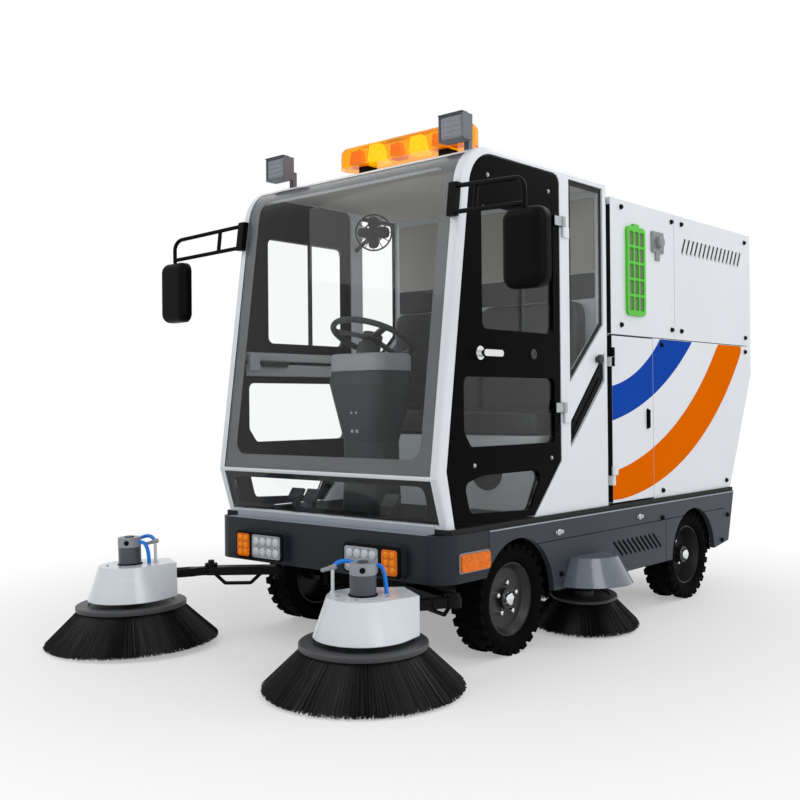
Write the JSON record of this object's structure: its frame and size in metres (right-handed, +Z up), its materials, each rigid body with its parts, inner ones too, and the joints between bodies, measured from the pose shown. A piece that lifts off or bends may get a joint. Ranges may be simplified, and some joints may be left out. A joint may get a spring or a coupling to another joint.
{
  "type": "street sweeper truck",
  "caption": "Compact enclosed electric street sweeper truck with glazed cab, panelled rear body, arm-mounted front brushes, brushes under the skirt and a main roller.",
  "frame": {"origin": "on the road below the middle of the object's box", "axes": "+X forward, +Y to the vehicle's left, +Z up"},
  "size_m": [3.6317, 2.2422, 2.2362],
  "materials": {
    "white_paint": "gloss",
    "light_grey_paint": "satin",
    "slate_paint": "satin",
    "black_door": "gloss",
    "black_steel": "satin",
    "deck_rubber": "matte",
    "tinted_glass": "gloss",
    "chrome": "polished",
    "tyre": "matte",
    "wheel_steel": "satin",
    "bristle": "matte",
    "hood_white": "gloss",
    "motor_grey": "satin",
    "amber_lens": "gloss",
    "clear_lamp": "gloss",
    "lamp_housing": "matte",
    "black_plastic": "satin",
    "seat_vinyl": "matte",
    "green_plastic": "gloss",
    "grey_plastic": "satin",
    "galvanised": "satin"
  },
  "bodies": {
    "chassis": {"cab_frame": "white_paint", "cab_roof": "white_paint", "body_shell": "white_paint", "body_panels": "white_paint", "cab_rear_wall": "light_grey_paint", "seat_base": "light_grey_paint", "front_bumper": "slate_paint", "side_skirts": "slate_paint", "chassis_frame": "black_steel", "front_axle": "black_steel", "rear_axle": "black_steel", "tow_eye": "black_steel", "deck": "deck_rubber", "cab_glass": "tinted_glass", "beacon_bar": "amber_lens", "signal_lamps": "amber_lens", "front_lamps": "clear_lamp", "work_lamps": "lamp_housing", "mirror_arms": "black_plastic", "mirror_heads": "black_plastic", "steering_pedestal": "black_plastic", "cab_fan": "black_plastic", "battery_pack": "black_plastic", "bench_pads": "seat_vinyl", "filter_grilles": "green_plastic", "isolator_switch": "grey_plastic", "hopper": "galvanised"},
    "knuckle_left": {"knuckle_left": "black_steel"},
    "knuckle_right": {"knuckle_right": "black_steel"},
    "wheel_front_left": {"rim_front_left": "wheel_steel", "tyre_front_left": "tyre"},
    "wheel_rear_left": {"rim_rear_left": "wheel_steel", "tyre_rear_left": "tyre"},
    "door_left": {"cab_door_left": "black_door", "door_panes_left": "tinted_glass", "door_handle_left": "chrome"},
    "service_left": {"service_door_left": "white_paint"},
    "mid_brush_left": {"mid_brush_left": "bristle"},
    "wheel_front_right": {"rim_front_right": "wheel_steel", "tyre_front_right": "tyre"},
    "wheel_rear_right": {"rim_rear_right": "wheel_steel", "tyre_rear_right": "tyre"},
    "door_right": {"cab_door_right": "black_door", "door_panes_right": "tinted_glass", "door_handle_right": "chrome"},
    "service_right": {"service_door_right": "white_paint"},
    "mid_brush_right": {"mid_brush_right": "bristle"},
    "arm_left": {"inner_arm_left": "black_steel"},
    "head_left": {"outer_arm_left": "black_steel", "brush_hood_left": "hood_white", "brush_motor_left": "motor_grey"},
    "brush_left": {"front_brush_left": "bristle"},
    "arm_right": {"inner_arm_right": "black_steel"},
    "head_right": {"outer_arm_right": "black_steel", "brush_hood_right": "hood_white", "brush_motor_right": "motor_grey"},
    "brush_right": {"front_brush_right": "bristle"},
    "roller": {"main_roller": "bristle"},
    "hatch": {"rear_hatch": "white_paint"},
    "steering_wheel": {"steering_wheel": "black_plastic"}
  },
  "joints": [
    {"name": "steer_left", "type": "hinge", "parent": "chassis", "child": "knuckle_left", "pos_m": [0.575, 0.45, 0.226], "axis": [0, 0, 1], "range_deg": [-30, 30]},
    {"name": "steer_right", "type": "hinge", "parent": "chassis", "child": "knuckle_right", "pos_m": [0.575, -0.45, 0.226], "axis": [0, 0, 1], "range_deg": [-30, 30]},
    {"name": "spin_front_left", "type": "hinge", "parent": "knuckle_left", "child": "wheel_front_left", "pos_m": [0.575, 0.557, 0.226], "axis": [0, 1, 0], "continuous": true},
    {"name": "spin_rear_left", "type": "hinge", "parent": "chassis", "child": "wheel_rear_left", "pos_m": [-1.005, 0.557, 0.226], "axis": [0, 1, 0], "continuous": true},
    {"name": "door_left", "type": "hinge", "parent": "chassis", "child": "door_left", "pos_m": [0.205, 0.652, 1.2], "axis": [0, 0, 1], "range_deg": [0, 75]},
    {"name": "service_left", "type": "hinge", "parent": "chassis", "child": "service_left", "pos_m": [-0.203, 0.652, 0.95], "axis": [0, 0, -1], "range_deg": [0, 100]},
    {"name": "mid_spin_left", "type": "hinge", "parent": "chassis", "child": "mid_brush_left", "pos_m": [-0.06, 0.57, 0.02523], "axis": [0.0616, 0.0616, 0.9962], "continuous": true},
    {"name": "spin_front_right", "type": "hinge", "parent": "knuckle_right", "child": "wheel_front_right", "pos_m": [0.575, -0.557, 0.226], "axis": [0, 1, 0], "continuous": true},
    {"name": "spin_rear_right", "type": "hinge", "parent": "chassis", "child": "wheel_rear_right", "pos_m": [-1.005, -0.557, 0.226], "axis": [0, 1, 0], "continuous": true},
    {"name": "door_right", "type": "hinge", "parent": "chassis", "child": "door_right", "pos_m": [0.205, -0.652, 1.2], "axis": [0, 0, -1], "range_deg": [0, 75]},
    {"name": "service_right", "type": "hinge", "parent": "chassis", "child": "service_right", "pos_m": [-0.203, -0.652, 0.95], "axis": [0, 0, 1], "range_deg": [0, 100]},
    {"name": "mid_spin_right", "type": "hinge", "parent": "chassis", "child": "mid_brush_right", "pos_m": [-0.06, -0.57, 0.02523], "axis": [0.0616, -0.0616, 0.9962], "continuous": true},
    {"name": "swing_left", "type": "hinge", "parent": "chassis", "child": "arm_left", "pos_m": [0.925, 0.4, 0.29], "axis": [0, 0, 1], "range_deg": [-25, 15]},
    {"name": "lift_left", "type": "hinge", "parent": "arm_left", "child": "head_left", "pos_m": [1.10242, 0.64103, 0.29], "axis": [-0.4909, -0.8712, 0], "range_deg": [0, 15]},
    {"name": "brush_spin_left", "type": "hinge", "parent": "head_left", "child": "brush_left", "pos_m": [1.33503, 0.50996, 0.01274], "axis": [0.0185, 0.0185, 0.9997], "continuous": true},
    {"name": "swing_right", "type": "hinge", "parent": "chassis", "child": "arm_right", "pos_m": [0.925, -0.4, 0.29], "axis": [0, 0, -1], "range_deg": [-25, 15]},
    {"name": "lift_right", "type": "hinge", "parent": "arm_right", "child": "head_right", "pos_m": [1.19802, -0.65489, 0.29], "axis": [-0.4321, -0.9018, 0], "range_deg": [0, 15]},
    {"name": "brush_spin_right", "type": "hinge", "parent": "head_right", "child": "brush_right", "pos_m": [1.43881, -0.77025, 0.01274], "axis": [0.0185, -0.0185, 0.9997], "continuous": true},
    {"name": "roller_spin", "type": "hinge", "parent": "chassis", "child": "roller", "pos_m": [-0.48, 0, 0.185], "axis": [0, 1, 0], "continuous": true},
    {"name": "hatch", "type": "hinge", "parent": "chassis", "child": "hatch", "pos_m": [-1.812, 0, 1.186], "axis": [0, 1, 0], "range_deg": [0, 80]},
    {"name": "steering_turn", "type": "hinge", "parent": "chassis", "child": "steering_wheel", "pos_m": [0.725, 0, 1.313], "axis": [-0.4067, 0, 0.9135], "range_deg": [-360, 360]}
  ],
  "couplings": [
    {"joint": "steer_right", "follows": "steer_left", "ratio": 1},
    {"joint": "steering_turn", "follows": "steer_left", "ratio": 12}
  ]
}
